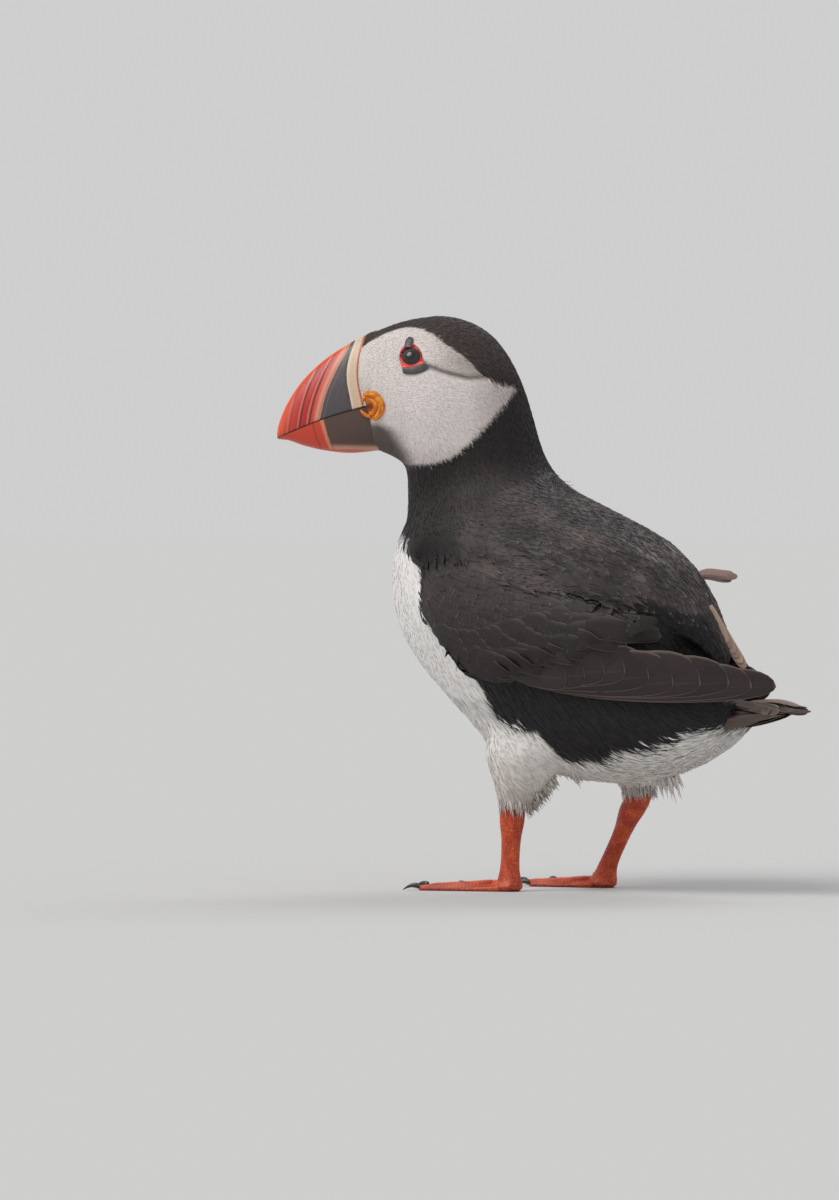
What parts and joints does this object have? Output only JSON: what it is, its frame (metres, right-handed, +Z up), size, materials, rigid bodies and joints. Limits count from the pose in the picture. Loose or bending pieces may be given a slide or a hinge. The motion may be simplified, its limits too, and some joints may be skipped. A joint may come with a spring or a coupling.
{
  "type": "atlantic puffin",
  "caption": "Standing Atlantic puffin with its head turned to its left, bill closed, wings folded and webbed feet in a short stride.",
  "frame": {"origin": "bottom centre of the bird's box, on the level of its soles", "axes": "+Z up, the body faces -X and its left side is -Y; the head looks 35 degrees to the left of -X"},
  "size_m": [0.1936, 0.0886, 0.1988],
  "materials": {
    "black_feather": "soft black and dark brown feathers",
    "white_feather": "soft white feathers",
    "face_feather": "short pale grey face feathers under a dark cap",
    "wing_feather": "smooth dark brown wing and tail vanes",
    "bill_red": "satin horn, orange-red with pale grooves",
    "bill_slate": "satin slate-grey horn",
    "cere_cream": "dull cream horn with small pits",
    "gape_yellow": "wrinkled orange-yellow skin",
    "eye_ring_red": "bare red skin",
    "eye": "wet dark brown",
    "leg_orange": "scaly orange-red skin",
    "claw": "dark polished horn"
  },
  "bodies": {
    "root": {"head": "face_feather", "neck": "black_feather", "trunk": "white_feather", "scapulars": "black_feather", "wing_left": "wing_feather", "wing_right": "wing_feather", "flight_feathers_left": "wing_feather", "flight_feathers_right": "wing_feather", "tail": "wing_feather", "upper_bill_front": "bill_red", "lower_bill_front": "bill_red", "upper_bill_base": "bill_slate", "lower_bill_base": "bill_slate", "cere": "cere_cream", "gape_left": "gape_yellow", "gape_right": "gape_yellow", "eye_left": "eye", "eye_right": "eye", "eye_ring_left": "eye_ring_red", "eye_ring_right": "eye_ring_red", "eye_plate_upper_left": "bill_slate", "eye_plate_upper_right": "bill_slate", "eye_plate_lower_left": "bill_slate", "eye_plate_lower_right": "bill_slate", "thigh_left": "white_feather", "thigh_right": "white_feather", "shank_left": "leg_orange", "shank_right": "leg_orange", "foot_left": "leg_orange", "foot_right": "leg_orange", "claw_inner_left": "claw", "claw_inner_right": "claw", "claw_middle_left": "claw", "claw_middle_right": "claw", "claw_outer_left": "claw", "claw_outer_right": "claw"}
  },
  "joints": []
}
